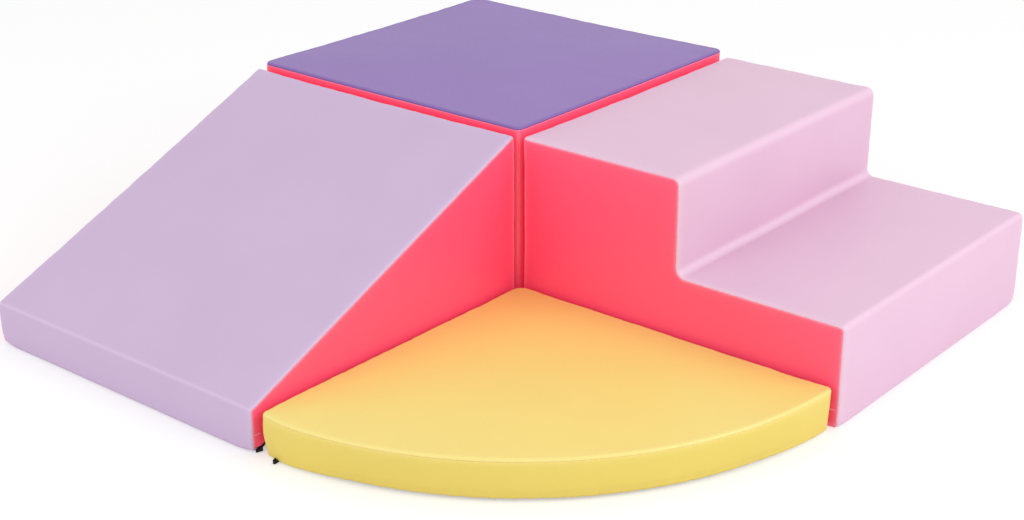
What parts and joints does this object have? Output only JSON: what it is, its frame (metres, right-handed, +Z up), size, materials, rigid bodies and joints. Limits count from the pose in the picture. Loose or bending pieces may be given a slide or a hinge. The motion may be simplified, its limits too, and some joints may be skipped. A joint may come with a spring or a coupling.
{
  "type": "soft play foam climber",
  "caption": "Soft play corner set: square corner block, ramp, steps and quarter-round mat, each foam in a zipped leather cover.",
  "frame": {"origin": "on the floor, under the middle of the set", "axes": "+Z up; the ramp runs down along -Y, the steps go down along +X, and the mat lies between"},
  "size_m": [1.119, 1.114, 0.3173],
  "materials": {
    "coral_leather": "satin",
    "purple_leather": "satin",
    "lavender_leather": "satin",
    "pink_leather": "satin",
    "yellow_leather": "satin",
    "base_cloth": "matte",
    "foam": "matte",
    "hook_tape": "matte",
    "loop_tape": "matte",
    "zip_tape": "matte",
    "zip_chain": "satin",
    "zip_metal": "satin"
  },
  "bodies": {
    "corner_block": {"corner_top_panel": "purple_leather", "corner_side_to_ramp": "coral_leather", "corner_side_to_steps": "coral_leather", "corner_side_back": "coral_leather", "corner_side_left": "coral_leather", "corner_foam_core": "foam", "corner_loop_tape_to_ramp": "loop_tape", "corner_loop_tape_to_steps": "loop_tape", "corner_foam_base_layer": "foam", "corner_base_cloth": "base_cloth", "corner_zip_tape": "zip_tape", "corner_zip_chain": "zip_chain"},
    "ramp": {"ramp_slope_panel": "lavender_leather", "ramp_back_panel": "coral_leather", "ramp_side_inner": "coral_leather", "ramp_side_outer": "coral_leather", "ramp_foam_core": "foam", "ramp_hook_tape_to_corner": "hook_tape", "ramp_loop_tape_to_mat": "loop_tape", "ramp_foam_base_layer": "foam", "ramp_base_cloth": "base_cloth", "ramp_zip_tape": "zip_tape", "ramp_zip_chain": "zip_chain"},
    "steps": {"steps_tread_wrap": "pink_leather", "steps_back_panel": "coral_leather", "steps_side_inner": "coral_leather", "steps_side_outer": "coral_leather", "steps_lower_foam": "foam", "steps_upper_foam": "foam", "steps_hook_tape_to_corner": "hook_tape", "steps_loop_tape_to_mat": "loop_tape", "steps_foam_base_layer": "foam", "steps_base_cloth": "base_cloth", "steps_zip_tape": "zip_tape", "steps_zip_chain": "zip_chain"},
    "mat": {"mat_top_panel": "yellow_leather", "mat_arc_band": "yellow_leather", "mat_band_to_ramp": "yellow_leather", "mat_band_to_steps": "yellow_leather", "mat_foam_core": "foam", "mat_hook_tape_to_ramp": "hook_tape", "mat_hook_tape_to_steps": "hook_tape", "mat_foam_base_layer": "foam", "mat_base_cloth": "base_cloth", "mat_zip_tape": "zip_tape", "mat_zip_chain": "zip_chain"},
    "corner_zip_slider": {"corner_zip_slider": "zip_metal"},
    "corner_zip_pull": {"corner_zip_pull": "zip_metal"},
    "ramp_zip_slider": {"ramp_zip_slider": "zip_metal"},
    "ramp_zip_pull": {"ramp_zip_pull": "zip_metal"},
    "steps_zip_slider": {"steps_zip_slider": "zip_metal"},
    "steps_zip_pull": {"steps_zip_pull": "zip_metal"},
    "mat_zip_slider": {"mat_zip_slider": "zip_metal"},
    "mat_zip_pull": {"mat_zip_pull": "zip_metal"}
  },
  "joints": [
    {"name": "ramp_pull_away", "type": "slide", "parent": "corner_block", "child": "ramp", "axis": [0, -1, 0], "range_m": [0, 0.3]},
    {"name": "steps_pull_away", "type": "slide", "parent": "corner_block", "child": "steps", "axis": [1, 0, 0], "range_m": [0, 0.3]},
    {"name": "mat_pull_away", "type": "slide", "parent": "corner_block", "child": "mat", "axis": [0.7071, -0.7071, 0], "range_m": [0, 0.4]},
    {"name": "corner_zip_run", "type": "slide", "parent": "corner_block", "child": "corner_zip_slider", "axis": [-1, 0, 0], "range_m": [0, 0.49]},
    {"name": "corner_pull_swing", "type": "hinge", "parent": "corner_zip_slider", "child": "corner_zip_pull", "pos_m": [-0.034, 0.5516, 0.0071], "axis": [0, 0, 1], "range_deg": [0, 175]},
    {"name": "steps_zip_run", "type": "slide", "parent": "steps", "child": "steps_zip_slider", "axis": [-1, 0, 0], "range_m": [0, 0.5]},
    {"name": "steps_pull_swing", "type": "hinge", "parent": "steps_zip_slider", "child": "steps_zip_pull", "pos_m": [0.532, 0.5516, 0.0071], "axis": [0, 0, 1], "range_deg": [0, 175]},
    {"name": "ramp_zip_run", "type": "slide", "parent": "ramp", "child": "ramp_zip_slider", "axis": [0, 1, 0], "range_m": [0, 0.5]},
    {"name": "ramp_pull_swing", "type": "hinge", "parent": "ramp_zip_slider", "child": "ramp_zip_pull", "pos_m": [-0.0119, -0.5295, 0.0071], "axis": [0, 0, 1], "range_deg": [0, 175]},
    {"name": "mat_zip_run", "type": "slide", "parent": "mat", "child": "mat_zip_slider", "axis": [0, 1, 0], "range_m": [0, 0.46]},
    {"name": "mat_pull_swing", "type": "hinge", "parent": "mat_zip_slider", "child": "mat_zip_pull", "pos_m": [0.0029, -0.5035, 0.0071], "axis": [0, 0, -1], "range_deg": [0, 175]}
  ]
}
